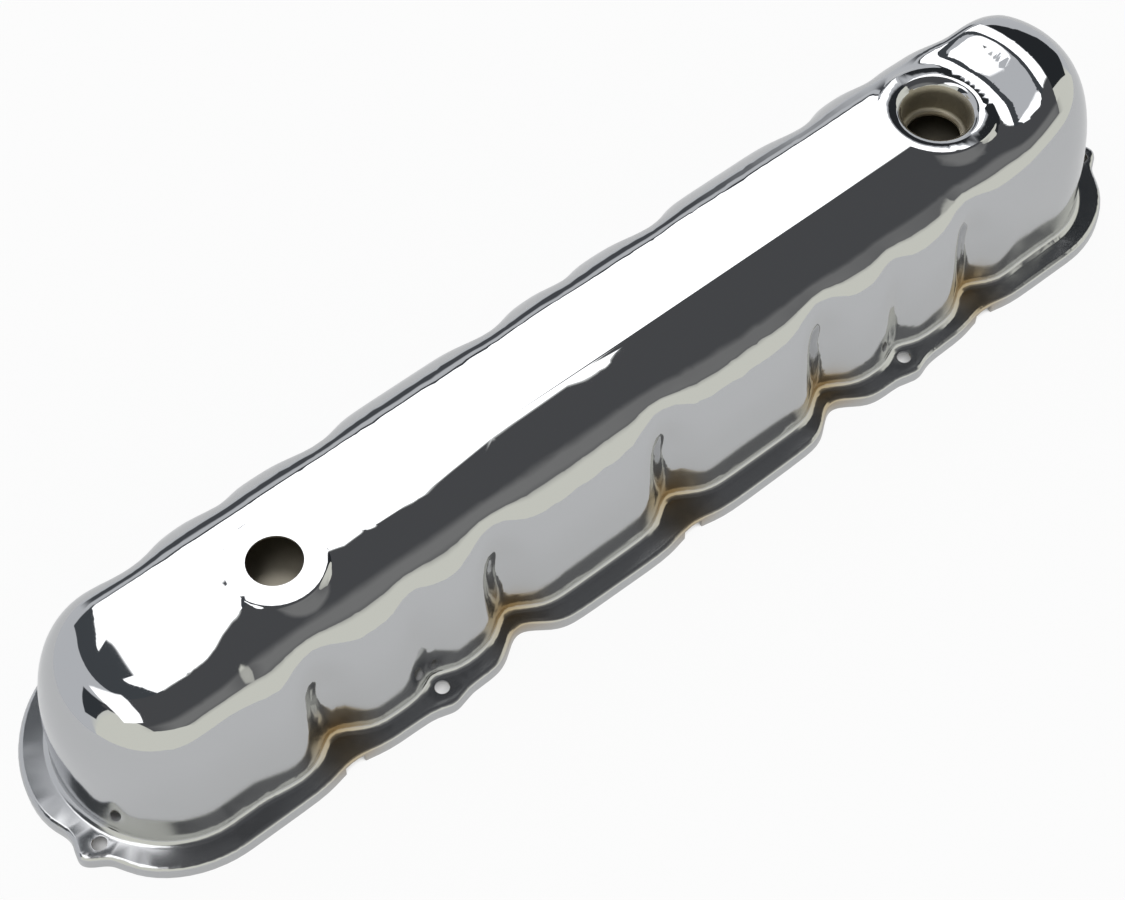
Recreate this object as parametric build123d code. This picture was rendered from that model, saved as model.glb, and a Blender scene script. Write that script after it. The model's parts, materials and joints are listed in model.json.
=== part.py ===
"""Valve cover of an in-line six-cylinder engine, in millimetres.

One deep-drawn sheet-steel shell, with two splash baffles spot-welded under its crown: one below
the breather hole, one below the filler neck. X runs along the cover, Y across it with the bolt
ears at -Y, Z up from the lower edge of the rim.
"""
from build123d import *
import os
from math import acos, cos, exp, hypot, pi, radians, sin, tan

# --- shell --------------------------------------------------------------------------------------
CYLINDER_PITCH = 101.0      # spacing of the pinches that clear the cylinders' head bolts
SHEET = 1.2                 # steel gauge
CROWN_HEIGHT = 87.5         # outer height of the crown above the rim's lower edge
DOME_RISE = 10.5            # the far end stands this much above the crown
DOME_START = 27.0           # this far round the filler it starts to rise
DOME_END = 54.0             # and this far round it is at its top
DOME_RUN = 26.0             # it rises over this much of the length
DOME_STRETCH = 0.75         # it starts later towards the sides
DOME_SIDE = (21.0, 50.0)    # and dies away between these distances from the middle, towards +Y

SIDE_HALF_LENGTH = 262.0    # the long sides run straight this far from the middle
WALL_HALF_WIDTH = 59.0      # foot of the wall, along the middle
BOX_HALF_WIDTHS = {-1: 56.0, 1: 54.5}  # at the two boxy ends, on the -Y and the +Y side
WALL_REACH = 49.0           # foot of the wall beyond the straight sides, half an ellipse in plan
FLANGE_WIDTH = 13.0         # from the foot of the wall to the outside of the rim
END_FLANGE_WIDTH = 16.0     # the same at the tips
RIM_HALF_WIDTH = WALL_HALF_WIDTH + FLANGE_WIDTH
RIM_REACH = WALL_REACH + END_FLANGE_WIDTH

RIM_HEIGHT = 7.2            # top face of the flange
RIM_BEND = 2.6              # outer radius where the flange turns down into the lip
FOOT_RADIUS = 3.6           # radius where the wall runs out into the flange

# The section is a superellipse: a low power slopes the shoulder, a high one makes it boxy.
NEAR_POWER = 3.0
FAR_POWER = 4.4
BOX_POWER = 5.2
RISE_POWER = 2.6
NEAR_END_BOX = (222.0, 250.0)      # the section turns boxy between these distances from the middle
FILLER_END_BOX = (196.0, 240.0)
CROWN_SWEEP = radians(87)   # the section starts at the foot (0) and stops here, at the flat crown
TUCK = 40.0                 # the crown's flat strip ends this much short, clear of the dome
SHOULDER_DROP = 2.8         # towards the filler the shoulder at -Y falls away from the crown's strip
SHOULDER_DROP_RUN = 11.0    # this briskly
SHOULDER_DROP_ENDS = (-25.0, 42.0)   # starts and is complete at these places along the cover
SHOULDER_DROP_SIDES = (25.0, 50.0) # and dies away between these half widths

# --- pinches and ears -----------------------------------------------------------------------------
PINCH_DEPTH = 10.0
PINCH_WIDTH = 13.0
BOLT_PINCH_DEPTH = 4.5
BOLT_PINCH_WIDTH = 9.0
PINCH_FADE = {-1: (45.0, 82.0), 1: (62.0, 87.0)}  # heights between which each side's pinches die away
DOME_PINCH_RISE = 12.0      # those beside the dome reach this much higher
RIM_PINCH_DEPTH = 1.14 * PINCH_DEPTH  # the rim follows the pinches that carry no notch
RIM_NOTCH_DEPTH = 3.3       # and hardly dents at the notched ones
BOLT_EAR_REACH = 3.0
BOLT_EAR_WIDTH = 8.0
END_EAR_Y = -26.5
END_EAR_REACH = 9.5
END_EAR_WIDTH = 8.0
END_DENT = 6.0              # the end of the rim is drawn in this much on both sides of its ear
END_DENT_WIDTH = 20.0
NOTCH_LENGTH = 11.0
NOTCH_HEIGHT = 5.2          # the notches leave the flange whole

NEAR_BOLT_XS = (-148.5, 148.5)
FAR_BOLT_XS = (-190.0, 12.0, 214.0)
BOLT_Y = WALL_HALF_WIDTH + 2.8  # the wall pinches in beside each bolt to clear its head
END_BOLT_XS = (-314.0, 315.5)
BOLT_HOLE_RADIUS = 3.6
FAR_SIDE_SHIFT = -36.0      # the pinches of the +Y side count from here

# --- openings of the crown --------------------------------------------------------------------------
BREATHER_X = -191.0
BREATHER_Y = -2.5
BREATHER_RADIUS = 13.1
BREATHER_PAD_RADIUS = 25.0
FILLER_X = 221.0
FILLER_Y = 1.0
FILLER_PAD_RADIUS = 30.5
FILLER_RADIUS = 17.1        # bore of the neck
FILLER_LIP_RADIUS = 6.5     # the pad rolls into the neck round this
FILLER_DEPTH = 18.0
FILLER_TURN_RADIUS = 2.4    # the neck's lower edge turns in round this
FILLER_STOP_RADIUS = 13.8   # opening left in the middle
PAD_PROUD = 0.05            # the pads stand this much above the flat strip of the crown
PAD_EDGE_RADIUS = 2.5
PAD_SKIRT_ANGLE = 50.0
PAD_SKIRT_DEPTH = 5.0

# --- splash baffles --------------------------------------------------------------------------------
BAFFLE_SHEET = 0.9
BAFFLE_Y = 3.0
BAFFLE_TAB_LENGTH = 16.0
BAFFLE_TAB_WIDTH = 20.0
BAFFLE_PLATE_HALF_LENGTH = 24.0
BAFFLE_PLATE_WIDTH = 44.0
BAFFLE_SLOPE_LENGTH = 14.0
BAFFLE_FOLD_RADIUS = 3.0
BAFFLE_CORNER_RADIUS = 4.0
BREATHER_BAFFLE_DROP = 15.0
FILLER_BAFFLE_DROP = 29.0

# --- how finely the skin is laid out ----------------------------------------------------------------
LEVELS = 26                 # sections from the foot of the wall to the crown
SIDE_STATIONS = 96          # points along each long side, closer together towards its ends
END_STATIONS = 34           # points round each end
CLOSING_UP = 0.25

FOOT_HEIGHT = RIM_HEIGHT + FOOT_RADIUS
STATIONS = 2 * (SIDE_STATIONS + END_STATIONS)
RISE = CROWN_HEIGHT - FOOT_HEIGHT
CROWN_FLAT = FOOT_HEIGHT + RISE * sin(CROWN_SWEEP) ** (2 / RISE_POWER)
STRIP_HALF_WIDTH = WALL_HALF_WIDTH * cos(CROWN_SWEEP) ** (2 / NEAR_POWER)
UNDERSIDE = CROWN_FLAT - SHEET
PAD_TOP = CROWN_FLAT + PAD_PROUD


def smooth(value, start, end):
    """0 up to start, 1 from end on, an S-curve between."""
    t = min(max((value - start) / (end - start), 0.0), 1.0)
    return t * t * (3 - 2 * t)


def hump(distance, width):
    return exp(-((distance / width) ** 2))


def blend(a, b, share):
    return a + (b - a) * share


# --- what changes along the cover ---------------------------------------------------------------------
def pinch_xs(side):
    """The pinches of one side, numbered from its middle one."""
    if side < 0:
        return {k: k * CYLINDER_PITCH for k in (-2, -1, 0, 1, 2)}
    return {k: FAR_SIDE_SHIFT + k * CYLINDER_PITCH for k in (-2, -1, 0, 1, 2, 3)}


def bolt_xs(side):
    return NEAR_BOLT_XS if side < 0 else FAR_BOLT_XS


def notch_xs(side):
    return [x for k, x in pinch_xs(side).items() if k in (-2, 0, 2)]


def wall_pinch(side, x, z):
    deep = sum(hump(x - at, PINCH_WIDTH) for at in pinch_xs(side).values())
    shallow = sum(hump(x - at, BOLT_PINCH_WIDTH) for at in bolt_xs(side))
    fade = smooth(z - DOME_PINCH_RISE * smooth(x, FILLER_X, FILLER_X + DOME_RUN), *PINCH_FADE[side])
    return (PINCH_DEPTH * deep + BOLT_PINCH_DEPTH * shallow) * (1 - fade)


def rim_pinch(side, x):
    full = sum(hump(x - at, PINCH_WIDTH) for k, at in pinch_xs(side).items() if k in (-1, 1))
    notched = sum(hump(x - at, PINCH_WIDTH) for at in notch_xs(side))
    ears = sum(hump(x - at, BOLT_EAR_WIDTH) for at in bolt_xs(side) if abs(at) > CYLINDER_PITCH)
    return RIM_PINCH_DEPTH * full + RIM_NOTCH_DEPTH * notched - BOLT_EAR_REACH * ears


def both_sides(depth, across, *place):
    """The depth at a place between the side at -Y (across is -1) and the one at +Y (across is 1)."""
    return blend(depth(-1, *place), depth(1, *place), smooth(across, -1, 1))


def boxiness(x):
    return max(smooth(-x, *NEAR_END_BOX), smooth(x, *FILLER_END_BOX))


def crown_top(x, y):
    """Outer height of the crown: the dome stands behind the filler, and the shoulder at -Y falls away."""
    off_filler = hypot(x - FILLER_X, DOME_STRETCH * (y - FILLER_Y))
    dome = DOME_RISE * smooth(off_filler, DOME_START, DOME_END) * smooth(x, FILLER_X, FILLER_X + DOME_RUN)
    dome *= 1 - smooth(y, *DOME_SIDE)
    past_strip = max(-y - STRIP_HALF_WIDTH, 0.0)
    drop = SHOULDER_DROP * (1 - exp(-past_strip / SHOULDER_DROP_RUN)) * (1 - smooth(-y, *SHOULDER_DROP_SIDES))
    return CROWN_HEIGHT + dome - drop * smooth(x, *SHOULDER_DROP_ENDS) * (1 - boxiness(x))


# --- the loops that the skin runs through ---------------------------------------------------------------
def station(i):
    """(place along the straight side, share of the reach beyond it, share of the half width)."""
    turn, i = divmod(i % STATIONS, SIDE_STATIONS + END_STATIONS)
    side = -1 if turn == 0 else 1
    if i < SIDE_STATIONS:
        along = blend(side, -side, i / SIDE_STATIONS)
        return along * (1 + CLOSING_UP - CLOSING_UP * along ** 2), 0.0, side
    angle = pi * (i - SIDE_STATIONS) / END_STATIONS
    return -side, -side * sin(angle), side * cos(angle)


def wall_half_width(side, boxy):
    return blend(WALL_HALF_WIDTH, BOX_HALF_WIDTHS[side], boxy)


def wall_point(i, sweep):
    along, beyond, across = station(i)
    tucked = SIDE_HALF_LENGTH - TUCK * smooth(sweep, radians(45), CROWN_SWEEP)
    side_x = along * (tucked if along > 0 else SIDE_HALF_LENGTH)
    power = blend(blend(NEAR_POWER, FAR_POWER, smooth(across, -1, 1)), BOX_POWER, boxiness(side_x))
    half_width = both_sides(wall_half_width, across, boxiness(side_x))
    x = side_x + beyond * WALL_REACH * cos(sweep) ** (2 / BOX_POWER)
    y = across * half_width * cos(sweep) ** (2 / power)
    rise = sin(sweep) ** (2 / RISE_POWER)
    if sweep > 0:
        out = min(hypot(max(abs(x) - SIDE_HALF_LENGTH, 0.0) / WALL_REACH, y / half_width), 1.0)
        tucked_rise = sin(acos(out ** (power / 2))) ** (2 / RISE_POWER)
        rise = blend(rise, tucked_rise, smooth(sweep, radians(30), radians(50)))
    z = FOOT_HEIGHT + (crown_top(x, y) - FOOT_HEIGHT) * rise
    return x, y - across * both_sides(wall_pinch, across, x, z), z


def rim_point(i):
    along, beyond, across = station(i)
    half_width = both_sides(wall_half_width, across, smooth(abs(along), 0.1, 0.75)) + FLANGE_WIDTH
    y = across * (half_width - both_sides(rim_pinch, across, along * SIDE_HALF_LENGTH))
    ear = END_EAR_REACH * hump(y - END_EAR_Y, END_EAR_WIDTH) - END_DENT * hump(y - END_EAR_Y, END_DENT_WIDTH)
    swell = 1 + beyond ** 2 * ear / RIM_REACH
    return along * SIDE_HALF_LENGTH + beyond * RIM_REACH * swell, y * swell, 0.0


def offset_loop(loop, distance, z):
    """The loop moved outwards in plan, at height z."""
    result = []
    for i, (x, y, _) in enumerate(loop):
        step = Vector(*loop[(i + 1) % STATIONS]) - Vector(*loop[i - 1])
        result.append((x + step.Y / step.length * distance, y - step.X / step.length * distance, z))
    return result


def wall_loops(foot, gauge):
    """Loops up the wall, on its outside (gauge 0) or on its inside."""
    sweeps = [CROWN_SWEEP * (1 - (1 - (k / LEVELS) ** 1.25) ** 1.5) for k in range(LEVELS + 1)]
    outside = [[wall_point(i, sweep) for i in range(STATIONS)] for sweep in sweeps]
    outside[0] = offset_loop(foot, 0, FOOT_HEIGHT)
    outside[-1] = [(x, y, CROWN_FLAT) for x, y, _ in outside[-1]]
    result = [offset_loop(foot, -gauge, FOOT_HEIGHT)]
    for below, loop, above in zip(outside, outside[1:], outside[2:]):
        level = []
        for i in range(STATIONS):
            along = Vector(*loop[(i + 1) % STATIONS]) - Vector(*loop[i - 1])
            up = Vector(*above[i]) - Vector(*below[i])
            level.append(tuple(Vector(*loop[i]) - along.cross(up).normalized() * gauge))
        result.append(level)
    return result + [[(x, y, CROWN_FLAT - gauge) for x, y, _ in outside[-1]]]


def skin_zones(gauge):
    """The loops of lip, bend, foot and wall, on the outside (gauge 0) or a gauge further in."""
    rim = [rim_point(i) for i in range(STATIONS)]
    foot = [wall_point(i, 0.0) for i in range(STATIONS)]
    bend_radius = RIM_BEND - gauge
    foot_radius = FOOT_RADIUS + gauge
    bend = []
    turn = []
    for angle in (0, 30, 60, 90):
        c, s = cos(radians(angle)), sin(radians(angle))
        bend.append(offset_loop(rim, bend_radius * c - RIM_BEND, RIM_HEIGHT - RIM_BEND + bend_radius * s))
        turn.insert(0, offset_loop(foot, FOOT_RADIUS - foot_radius * c, FOOT_HEIGHT - foot_radius * s))
    lip = [offset_loop(rim, -gauge, 0), bend[0]]
    return lip, bend, turn, wall_loops(foot, gauge)


def loop_wire(loop):
    parameters = [i / STATIONS for i in range(STATIONS + 1)]
    return Wire([Edge.make_spline([Vector(*p) for p in loop], periodic=True, parameters=parameters)])


def skin_solid(gauge):
    """Everything within the outer skin (gauge 0), or within the inner one."""
    lip, bend, turn, wall = [[loop_wire(loop) for loop in zone] for zone in skin_zones(gauge)]
    faces = [Face(lip[0]), Face(bend[-1], [turn[0]]), Face(wall[-1])]
    for zone in (lip, bend, turn, wall):
        faces += Shell.make_loft(zone, ruled=zone is lip).faces()
    return Solid(Shell(faces))


# --- parts of the shell ----------------------------------------------------------------------------------
def turned(profile, x, y):
    """The closed profile (radius across, height up) turned round an upright axis at x, y."""
    return Pos(x, y, 0) * revolve(Plane.XZ * make_face(profile), Axis.Z)


def pad(x, y, radius, gauge):
    """Raised disc level with the crown, its edge rounded and its skirt sloping into the shoulder."""
    top = PAD_TOP - gauge
    bend = PAD_EDGE_RADIUS - gauge
    skirt = radians(PAD_SKIRT_ANGLE)
    flat = radius - PAD_EDGE_RADIUS * sin(skirt)
    start = (flat + bend * sin(skirt), top - bend * (1 - cos(skirt)))
    bottom = (start[0] + PAD_SKIRT_DEPTH / tan(skirt), start[1] - PAD_SKIRT_DEPTH)
    edge = RadiusArc((flat, top), start, bend)
    rest = Polyline(start, bottom, (0, bottom[1]), (0, top), (flat, top))
    return turned(edge + rest, x, y)


def filler_neck():
    """Ring of sheet that rolls down from the pad, runs on as a neck and turns in at its lower edge."""
    bottom = PAD_TOP - FILLER_DEPTH
    roll = FILLER_RADIUS + FILLER_LIP_RADIUS
    turn = FILLER_RADIUS - FILLER_TURN_RADIUS
    lip_z, turn_z = PAD_TOP - FILLER_LIP_RADIUS, bottom + FILLER_TURN_RADIUS
    back = FILLER_RADIUS + SHEET
    profile = [
        RadiusArc((roll, PAD_TOP), (FILLER_RADIUS, lip_z), -FILLER_LIP_RADIUS),
        Line((FILLER_RADIUS, lip_z), (FILLER_RADIUS, turn_z)),
        RadiusArc((FILLER_RADIUS, turn_z), (turn, bottom), FILLER_TURN_RADIUS),
        Polyline((turn, bottom), (FILLER_STOP_RADIUS, bottom), (FILLER_STOP_RADIUS, bottom - SHEET),
                 (turn, bottom - SHEET)),
        RadiusArc((turn, bottom - SHEET), (back, turn_z), -FILLER_TURN_RADIUS - SHEET),
        Line((back, turn_z), (back, lip_z)),
        RadiusArc((back, lip_z), (roll, PAD_TOP - SHEET), FILLER_LIP_RADIUS - SHEET),
        Line((roll, PAD_TOP - SHEET), (roll, PAD_TOP)),
    ]
    return turned(Curve() + profile, FILLER_X, FILLER_Y)


def bolt_holes():
    places = [(x, -BOLT_Y) for x in NEAR_BOLT_XS] + [(x, BOLT_Y) for x in FAR_BOLT_XS]
    places += [(x, END_EAR_Y) for x in END_BOLT_XS]
    return [Pos(x, y, RIM_HEIGHT) * Cylinder(BOLT_HOLE_RADIUS, 4 * SHEET) for x, y in places]


def notches():
    depth = RIM_HALF_WIDTH / 4
    cutter = Box(NOTCH_LENGTH, depth, 2 * NOTCH_HEIGHT)
    return [Pos(x, side * RIM_HALF_WIDTH, 0) * cutter for side in (-1, 1) for x in notch_xs(side)]


def cover_shell():
    outside, inside = skin_solid(0), skin_solid(SHEET)
    for x, y, radius in ((BREATHER_X, BREATHER_Y, BREATHER_PAD_RADIUS), (FILLER_X, FILLER_Y, FILLER_PAD_RADIUS)):
        outside += pad(x, y, radius, 0)
        inside += pad(x, y, radius, SHEET)
    shell = outside - inside
    breather = Pos(BREATHER_X, BREATHER_Y, CROWN_FLAT) * Cylinder(BREATHER_RADIUS, 8 * SHEET)
    filler = Pos(FILLER_X, FILLER_Y, CROWN_FLAT) * Cylinder(FILLER_RADIUS + FILLER_LIP_RADIUS, 8 * SHEET)
    shell = shell - [breather, filler] + filler_neck()
    return shell - bolt_holes() - notches()


# --- splash baffles -----------------------------------------------------------------------------------------
def baffle(x, drop, bridge):
    """Folded strip hung under the crown: a tab, a slope and a plate, and back up again if it is a bridge."""
    plate, slope = BAFFLE_PLATE_HALF_LENGTH, BAFFLE_PLATE_HALF_LENGTH + BAFFLE_SLOPE_LENGTH
    end = slope + BAFFLE_TAB_LENGTH
    folds = [(-end, 0), (-slope, 0), (-plate, -drop), (plate, -drop)]
    plan = [(-end, BAFFLE_TAB_WIDTH / 2), (-slope, BAFFLE_TAB_WIDTH / 2), (-plate, BAFFLE_PLATE_WIDTH / 2)]
    if bridge:
        folds += [(slope, 0), (end, 0)]
        plan += [(-px, py) for px, py in reversed(plan)]
    else:
        plan += [(plate, BAFFLE_PLATE_WIDTH / 2)]
    path = FilletPolyline(*folds, radius=BAFFLE_FOLD_RADIUS)
    section = make_face(offset(path, BAFFLE_SHEET, side=Side.RIGHT, closed=True))
    strip = extrude(Plane.XZ * section, BAFFLE_PLATE_WIDTH / 2, both=True)
    outline = make_face(Polyline(*plan, *[(px, -py) for px, py in reversed(plan)], close=True))
    outline = fillet(outline.vertices(), BAFFLE_CORNER_RADIUS)
    strip = strip & extrude(outline, end, both=True)
    return Pos(x, BAFFLE_Y, UNDERSIDE) * strip


os.makedirs("parts", exist_ok=True)
pieces = {
    "cover_shell": cover_shell(),
    "breather_baffle": baffle(BREATHER_X, BREATHER_BAFFLE_DROP, bridge=True),
    "filler_baffle": baffle(FILLER_X, FILLER_BAFFLE_DROP, bridge=False),
}
for name, piece in pieces.items():
    export_step(piece, f"parts/{name}.step")
    print(name, "valid" if piece.is_valid else "NOT VALID", round(piece.volume), piece.bounding_box())
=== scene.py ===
# %% [markdown]
# # Chromed valve cover
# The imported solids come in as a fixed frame, in metres. This script only dresses them: it gives the drawn
# shell smooth normals and a chrome finish, the baffles a dull nickel one, and sets a plain studio around them.

# %% Load the frame
import json
from math import exp, hypot, radians

import bmesh
import bpy
from mathutils import Euler, Matrix, Vector
from mathutils.kdtree import KDTree

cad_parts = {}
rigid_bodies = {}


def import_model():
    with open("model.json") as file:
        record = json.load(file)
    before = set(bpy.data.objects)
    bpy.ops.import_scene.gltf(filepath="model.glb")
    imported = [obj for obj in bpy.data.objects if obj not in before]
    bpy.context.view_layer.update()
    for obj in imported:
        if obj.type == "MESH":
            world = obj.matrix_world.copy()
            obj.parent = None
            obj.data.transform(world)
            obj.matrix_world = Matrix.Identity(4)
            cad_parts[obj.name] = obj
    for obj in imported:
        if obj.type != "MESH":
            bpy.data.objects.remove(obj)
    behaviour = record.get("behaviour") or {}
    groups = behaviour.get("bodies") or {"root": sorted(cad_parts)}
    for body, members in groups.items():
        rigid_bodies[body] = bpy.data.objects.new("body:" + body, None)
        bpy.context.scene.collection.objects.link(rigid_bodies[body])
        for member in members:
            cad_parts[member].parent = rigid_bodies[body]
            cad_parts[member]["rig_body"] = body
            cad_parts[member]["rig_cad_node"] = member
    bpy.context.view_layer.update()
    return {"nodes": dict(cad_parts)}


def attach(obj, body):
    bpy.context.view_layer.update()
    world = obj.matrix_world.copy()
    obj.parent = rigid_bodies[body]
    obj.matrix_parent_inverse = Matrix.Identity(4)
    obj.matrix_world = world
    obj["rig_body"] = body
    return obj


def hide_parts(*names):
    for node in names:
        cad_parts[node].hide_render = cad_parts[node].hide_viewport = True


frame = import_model()

MM = 0.001


# %% [markdown]
# Colours are written as sRGB hex, as a paint chart has them, and turned to the linear values that shaders use.

# %% Colour and node helpers
def linear(hex_colour, strength=1.0):
    """An sRGB hex colour as linear RGBA, brightened by strength where it is a light."""
    channels = [int(hex_colour[i:i + 2], 16) / 255 for i in (0, 2, 4)]
    return (*[strength * (c / 12.92 if c <= 0.04045 else ((c + 0.055) / 1.055) ** 2.4) for c in channels], 1.0)


def add(tree, kind, inputs, **settings):
    """A node with its settings; inputs are linked or set, by socket name or number."""
    node = tree.nodes.new(kind)
    for name, value in settings.items():
        setattr(node, name, value)
    for name, value in inputs.items():
        if isinstance(value, bpy.types.NodeSocket):
            tree.links.new(value, node.inputs[name])
        else:
            node.inputs[name].default_value = value
    return node


def new_material(name):
    material = bpy.data.materials.new(name)
    material.use_nodes = True
    material.node_tree.nodes.clear()
    return material


# %% [markdown]
# Decorative chrome is a thin layer of chromium over nickel on drawn steel. Chromium mirrors a little over half
# of the light, evenly over its colours. The crown is buffed to a mirror before plating, but the buff does not
# reach down to the flange, so the steel stays satin there. At the foot of the pinches a warm, darker reflection
# is painted into the colour, and a faint waviness runs under it all.

# %% Chrome plate
CHROMIUM = "c6c7c9"
# The second colour is a warm, darker reflection painted at the foot of the pinches.
CORNER_REFLECTION_TINT = "b5a283"
SATIN_BELOW = 14 * MM
MIRROR_ABOVE = 56 * MM
SATIN_ROUGHNESS = 0.15
MIRROR_ROUGHNESS = 0.03
WAVE_LENGTH = 22 * MM
WAVE_HEIGHT = 0.05 * MM


def chrome_plate():
    material = new_material("chrome plate")
    tree = material.node_tree
    coords = add(tree, "ShaderNodeTexCoord", {}).outputs["Object"]
    waves = add(tree, "ShaderNodeTexNoise", {"Vector": coords, "Scale": 1 / WAVE_LENGTH, "Detail": 1.0})
    bump = add(tree, "ShaderNodeBump", {"Height": waves.outputs["Fac"], "Strength": 1.0,
                                        "Distance": WAVE_HEIGHT})
    height = add(tree, "ShaderNodeSeparateXYZ", {0: coords}).outputs["Z"]
    buffed = add(tree, "ShaderNodeMapRange", {
        "Value": height, "From Min": SATIN_BELOW, "From Max": MIRROR_ABOVE,
        "To Min": SATIN_ROUGHNESS, "To Max": MIRROR_ROUGHNESS})
    # The corner attribute mixes in the painted warm reflection at the foot of each pinch.
    corner = add(tree, "ShaderNodeAttribute", {}, attribute_name="corner")
    colour = add(tree, "ShaderNodeMix", {"Factor": corner.outputs["Fac"], 6: linear(CHROMIUM),
                                         7: linear(CORNER_REFLECTION_TINT)}, data_type="RGBA")
    shader = add(tree, "ShaderNodeBsdfPrincipled", {
        "Base Color": colour.outputs[2], "Metallic": 1.0, "Roughness": buffed.outputs[0],
        "Normal": bump.outputs["Normal"]})
    add(tree, "ShaderNodeOutputMaterial", {"Surface": shader.outputs["BSDF"]})
    return material


CHROME = chrome_plate()


# %% [markdown]
# The plating bath throws little metal into the hollow side, so it is only a dull grey nickel there, as are the
# two baffles.

# %% Dull nickel
NICKEL_TONES = "a39c8d", "c2bcae"
NICKEL_ROUGHNESS = 0.5
STAIN_SIZE = 12 * MM


def dull_nickel():
    material = new_material("dull nickel flash")
    tree = material.node_tree
    coords = add(tree, "ShaderNodeTexCoord", {}).outputs["Object"]
    stains = add(tree, "ShaderNodeTexNoise", {"Vector": coords, "Scale": 1 / STAIN_SIZE, "Detail": 4.0})
    dark, light = [linear(tone) for tone in NICKEL_TONES]
    colour = add(tree, "ShaderNodeMix", {"Factor": stains.outputs["Fac"], 6: dark, 7: light}, data_type="RGBA")
    shader = add(tree, "ShaderNodeBsdfPrincipled", {
        "Base Color": colour.outputs[2], "Metallic": 1.0, "Roughness": NICKEL_ROUGHNESS})
    add(tree, "ShaderNodeOutputMaterial", {"Surface": shader.outputs["BSDF"]})
    return material


NICKEL = dull_nickel()


# %% [markdown]
# A CAD mesh is loose triangles. A merged copy can be shaded smooth, with only the true creases left sharp.

# %% Smooth copies of the CAD pieces
CREASE = radians(32)
MERGE_REACH = 0.002 * MM


def smooth_copy(node, name):
    piece = frame["nodes"][node].copy()
    piece.data = frame["nodes"][node].data.copy()
    piece.name = name
    piece.data.name = name
    bpy.context.scene.collection.objects.link(piece)
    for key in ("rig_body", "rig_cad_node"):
        if key in piece:
            del piece[key]
    piece.parent = None
    shape = bmesh.new()
    shape.from_mesh(piece.data)
    bmesh.ops.remove_doubles(shape, verts=shape.verts, dist=MERGE_REACH)
    for face in shape.faces:
        face.smooth = True
    for edge in shape.edges:
        edge.smooth = len(edge.link_faces) == 2 and edge.calc_face_angle(0) < CREASE
    shape.to_mesh(piece.data)
    shape.free()
    piece.data.materials.clear()
    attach(piece, "root")
    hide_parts(node)
    print(name, len(piece.data.polygons), "triangles")
    return piece


for node in ("breather_baffle", "filler_baffle"):
    smooth_copy(node, "plated_" + node).data.materials.append(NICKEL)

shell = smooth_copy("cover_shell", "chromed_shell")
shell.data.materials.append(CHROME)
shell.data.materials.append(NICKEL)

# %% [markdown]
# The hollow side and the filler's neck get the nickel. Outside, every face looks up or away from the spine.

# %% Nickel faces of the shell
SPINE_END = 230 * MM
NECK = Vector((221 * MM, 1 * MM))
NECK_RADIUS = 17.6 * MM
NECK_TOP = 79 * MM


def is_nickel(face):
    if (face.center.xy - NECK).length < NECK_RADIUS and face.center.z < NECK_TOP:
        return True
    spine = Vector((min(max(face.center.x, -SPINE_END), SPINE_END), 0))
    away = (face.center.xy - spine).normalized()
    return face.normal.z + face.normal.xy.dot(away) < 0


nickel_faces = [face for face in shell.data.polygons if is_nickel(face)]
for face in nickel_faces:
    face.material_index = 1
print(len(nickel_faces), "faces of the shell are nickel")

# %% [markdown]
# A buffed crown is fair: its reflections run without a kink. Facets are not, so above the pinches each normal of
# the outside is averaged over the faces around it. This fades out on the two pads, which are flat, and down the
# walls.

# %% Fair normals on the crown
FAIR_ABOVE = 44 * MM
FAIR_REACH = 5 * MM
FADE = 3 * MM
BREATHER = Vector((-191 * MM, -2.5 * MM))
PADS = ((BREATHER, 22.5 * MM), (NECK, 28 * MM))  # middle, and radius of the flat top


def fairness(point):
    """How much of a point's normal is averaged: none on the pads and the walls, all of it on the crown."""
    clear = min([point.z - FAIR_ABOVE] + [(point.xy - middle).length - reach for middle, reach in PADS])
    return min(max(clear / FADE, 0.0), 1.0)


crown_faces = [f for f in shell.data.polygons if f.material_index == 0 and fairness(f.center) > 0]
tree = KDTree(len(crown_faces))
for i, face in enumerate(crown_faces):
    tree.insert(face.center, i)
tree.balance()

fair = {}
for index in {v for face in crown_faces for v in face.vertices}:
    near = tree.find_range(shell.data.vertices[index].co, FAIR_REACH)
    total = Vector()
    for _, i, distance in near:
        total += crown_faces[i].normal * crown_faces[i].area * (1 - distance / FAIR_REACH)
    if total.length > 0:
        fair[index] = total.normalized()

normals = [loop.vector.copy() for loop in shell.data.corner_normals]
for face in crown_faces:
    for loop in face.loop_indices:
        index = shell.data.loops[loop].vertex_index
        if index in fair:
            share = fairness(shell.data.vertices[index].co)
            normals[loop] = normals[loop].lerp(fair[index], share).normalized()
shell.data.normals_split_custom_set(normals)
print(len(fair), "corners of the crown have fair normals")

# %% Painted warm reflection in the corners
PINCH_PITCH = 101 * MM
CORNER_Z = 11 * MM
CORNER_SPREAD = 13 * MM
CORNER_SQUASH = 1.4  # the painted patch is this much lower than it is wide


def corner_reflection_share(point):
    """How much painted warm reflection a point of the near side gets: most at the foot of each pinch."""
    past_pinch = (point.x + PINCH_PITCH / 2) % PINCH_PITCH - PINCH_PITCH / 2
    off = hypot(past_pinch, CORNER_SQUASH * (point.z - CORNER_Z)) / CORNER_SPREAD
    return exp(-off ** 2) if point.y < 0 and abs(point.x) < SPINE_END else 0.0


# Each point's share of the painted warm reflection at the foot of the pinches.
corner = shell.data.attributes.new("corner", "FLOAT", "POINT")
corner.data.foreach_set("value", [corner_reflection_share(v.co) for v in shell.data.vertices])

# %% [markdown]
# The studio: a pale floor, and a sky of broad soft cards. Chrome shows nothing but its surroundings, so the cards
# are what draws it. A direction is told by its turn about the cover's long axis, from 0 at the far horizon over
# 90 overhead to 180 at the near one, and by its lean towards either end of the cover.

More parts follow.
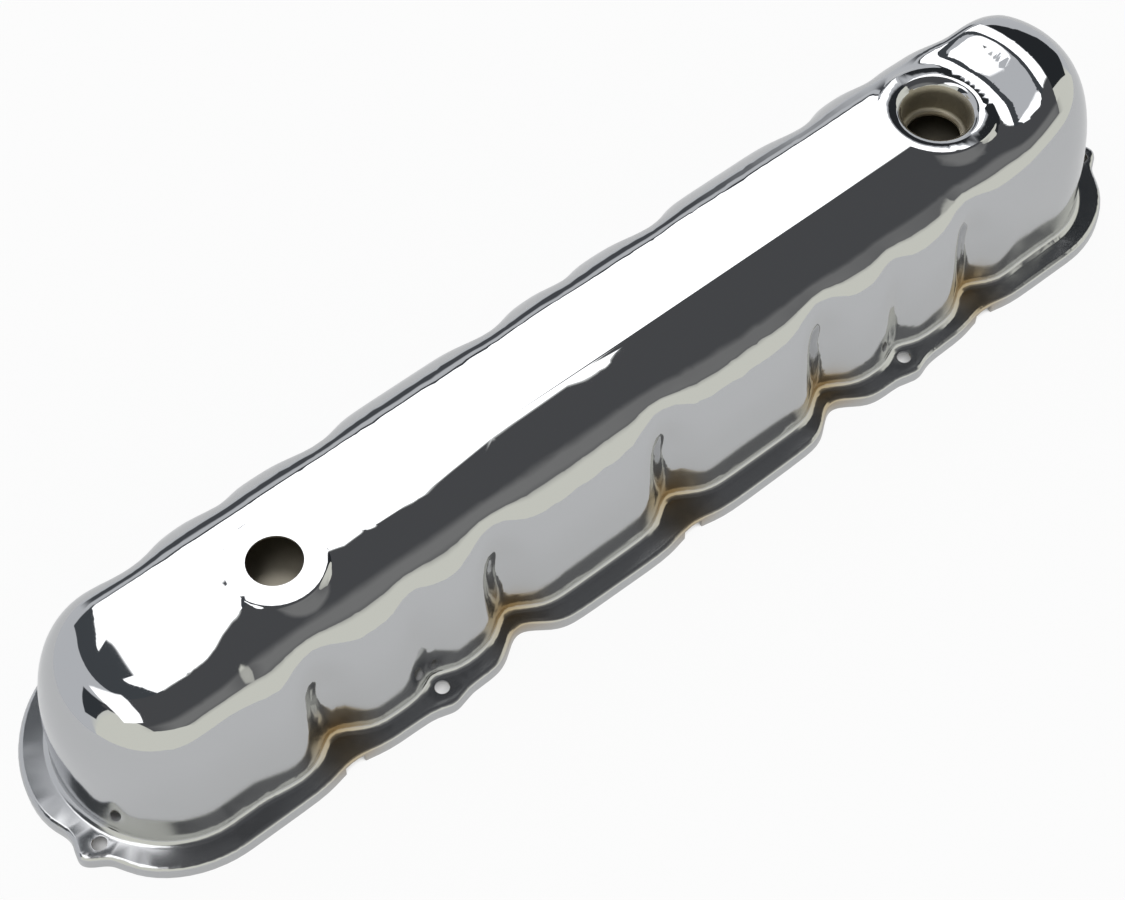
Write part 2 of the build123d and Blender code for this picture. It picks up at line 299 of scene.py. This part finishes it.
# %% Floor
PAPER = "e6e7ea"
PAPER_GLOW = 0.94
MIRRORED_SHARE = 0.5
SHADE_REACH = 130 * MM
DARK_AT, CLEAR_AT = 0.1, 0.4  # shares of open sky over the paper at which its glow starts and is full
FLOOR_HALF = 6.0


def floor_material():
    material = new_material("pale floor paper")
    tree = material.node_tree
    paper = add(tree, "ShaderNodeBsdfDiffuse", {"Color": linear(PAPER)})
    glow = add(tree, "ShaderNodeEmission", {"Color": (1, 1, 1, 1), "Strength": 1.0})
    rays = add(tree, "ShaderNodeLightPath", {}).outputs
    mirrored = add(tree, "ShaderNodeMath", {0: rays["Is Glossy Ray"], 1: rays["Is Transmission Ray"]},
                   operation="ADD")
    half = add(tree, "ShaderNodeMath", {0: mirrored.outputs[0], 1: MIRRORED_SHARE}, operation="MULTIPLY")
    seen = add(tree, "ShaderNodeMath", {0: rays["Is Camera Ray"], 1: half.outputs[0]}, operation="MAXIMUM")
    shade = add(tree, "ShaderNodeAmbientOcclusion", {"Distance": SHADE_REACH})
    clear = add(tree, "ShaderNodeMapRange", {"Value": shade.outputs["AO"], "From Min": DARK_AT,
                                             "From Max": CLEAR_AT, "To Max": PAPER_GLOW})
    share = add(tree, "ShaderNodeMath", {0: seen.outputs[0], 1: clear.outputs[0]}, operation="MULTIPLY")
    mixed = add(tree, "ShaderNodeMixShader", {0: share.outputs[0], 1: paper.outputs[0], 2: glow.outputs[0]})
    add(tree, "ShaderNodeOutputMaterial", {"Surface": mixed.outputs[0]})
    return material


shape = bmesh.new()
bmesh.ops.create_grid(shape, x_segments=1, y_segments=1, size=FLOOR_HALF)
floor_mesh = bpy.data.meshes.new("floor")
shape.to_mesh(floor_mesh)
shape.free()
floor = bpy.data.objects.new("floor", floor_mesh)
floor_mesh.materials.append(floor_material())
bpy.context.scene.collection.objects.link(floor)

# %% Sky
CARDS = [  # turn and lean of the middle, half sizes in degrees, tilt, softness of the edge, colour and strength
    ((14, 18), (7, 12), 0, 0.3, "55585c", 1.0),       # gap under the soft box
    ((31, 22), (2, 12), 0, 0.3, "404448", 1.0),       # its lower frame
    ((52, 2.5), (23, 6), 0, 0.05, "505458", 1.0),     # its stand
    ((52, 19.5), (20, 12.3), 0, 0.02, "ffffff", 2.4),  # soft box over the far side
    ((68, -41), (10, 19), 0, 0.05, "404448", 1.0),    # dark flag
    ((68, 52), (23, 19), 0, 0.03, "303336", 1.0),     # dark screen at the far end
    ((111, 3), (38, 31), 0, 0.02, "595a5c", 1.0),     # unlit ceiling
    ((136, 7), (13, 27), 0, 0.6, "8e8e8d", 1.0),      # its near part, which catches some light
    ((153, -22), (15, 24), -30, 0.05, "f8f8ec", 1.0),  # pale wall beyond it
    ((84, -19), (22, 7.5), -30, 0.05, "ffffff", 2.2), # strip light
]
SKY_STOPS = [(0, "dddfe2"), (66, "dddfe2"), (84, "f8f8ec"), (180, "f8f8ec")]


def sky():
    world = bpy.data.worlds.new("studio cards")
    bpy.context.scene.world = world
    world.use_nodes = True
    tree = world.node_tree
    tree.nodes.clear()
    direction = add(tree, "ShaderNodeTexCoord", {}).outputs["Generated"]
    x, y, z = add(tree, "ShaderNodeSeparateXYZ", {0: direction}).outputs
    turn = add(tree, "ShaderNodeMath", {0: z, 1: y}, operation="ARCTAN2")
    lean = add(tree, "ShaderNodeMath", {0: x}, operation="ARCSINE")
    angles = add(tree, "ShaderNodeCombineXYZ", {0: turn.outputs[0], 1: lean.outputs[0]}).outputs[0]
    place = add(tree, "ShaderNodeMath", {0: turn.outputs[0], 1: radians(180)}, operation="DIVIDE")
    ramp = add(tree, "ShaderNodeValToRGB", {"Fac": place.outputs[0]})
    stops = ramp.color_ramp.elements
    while len(stops) < len(SKY_STOPS):
        stops.new(0.5)
    for stop, (start, colour) in zip(stops, SKY_STOPS):
        stop.position = start / 180
        stop.color = linear(colour)
    colour = ramp.outputs["Color"]
    for middle, half, tilt, edge, paint, strength in CARDS:
        within = add(tree, "ShaderNodeMapping", {
            "Vector": angles, "Location": (radians(middle[0]), radians(middle[1]), 0),
            "Rotation": (0, 0, radians(tilt)), "Scale": (radians(half[0]), radians(half[1]), 1)},
            vector_type="TEXTURE")
        off = add(tree, "ShaderNodeVectorMath", {0: within.outputs[0]}, operation="ABSOLUTE")
        across, along, _ = add(tree, "ShaderNodeSeparateXYZ", {0: off.outputs[0]}).outputs
        far_off = add(tree, "ShaderNodeMath", {0: across, 1: along}, operation="MAXIMUM")
        share = add(tree, "ShaderNodeMapRange", {"Value": far_off.outputs[0], "From Min": 1 + edge,
                                                 "From Max": 1 - edge}, interpolation_type="SMOOTHSTEP")
        colour = add(tree, "ShaderNodeMix", {"Factor": share.outputs[0], 6: colour, 7: linear(paint, strength)},
                     data_type="RGBA").outputs[2]
    cards = add(tree, "ShaderNodeBackground", {"Color": colour, "Strength": 1.0})
    white = add(tree, "ShaderNodeBackground", {"Color": (1, 1, 1, 1), "Strength": 1.0})
    seen = add(tree, "ShaderNodeLightPath", {}).outputs["Is Camera Ray"]
    mixed = add(tree, "ShaderNodeMixShader", {0: seen, 1: cards.outputs[0], 2: white.outputs[0]})
    add(tree, "ShaderNodeOutputWorld", {"Surface": mixed.outputs[0]})


sky()

# %% Camera
VIEW_HEADING = radians(39.5)
VIEW_PITCH = radians(55.11)
VIEW_ROLL = radians(-0.37)
VIEW_POINT = (-0.45780, -0.52538, 0.99293)
LENS, SENSOR = 78.06, 36.0
CLIP_START = 0.01

camera_data = bpy.data.cameras.new("camera")
camera_data.lens = LENS
camera_data.sensor_width = SENSOR
camera_data.clip_start = CLIP_START
camera = bpy.data.objects.new("camera", camera_data)
turned = Euler((radians(90) - VIEW_PITCH, 0, -VIEW_HEADING)).to_matrix() @ Matrix.Rotation(VIEW_ROLL, 3, "Z")
camera.rotation_euler = turned.to_euler()
camera.location = VIEW_POINT
bpy.context.scene.collection.objects.link(camera)
bpy.context.scene.camera = camera
bpy.context.scene.view_settings.view_transform = "Standard"
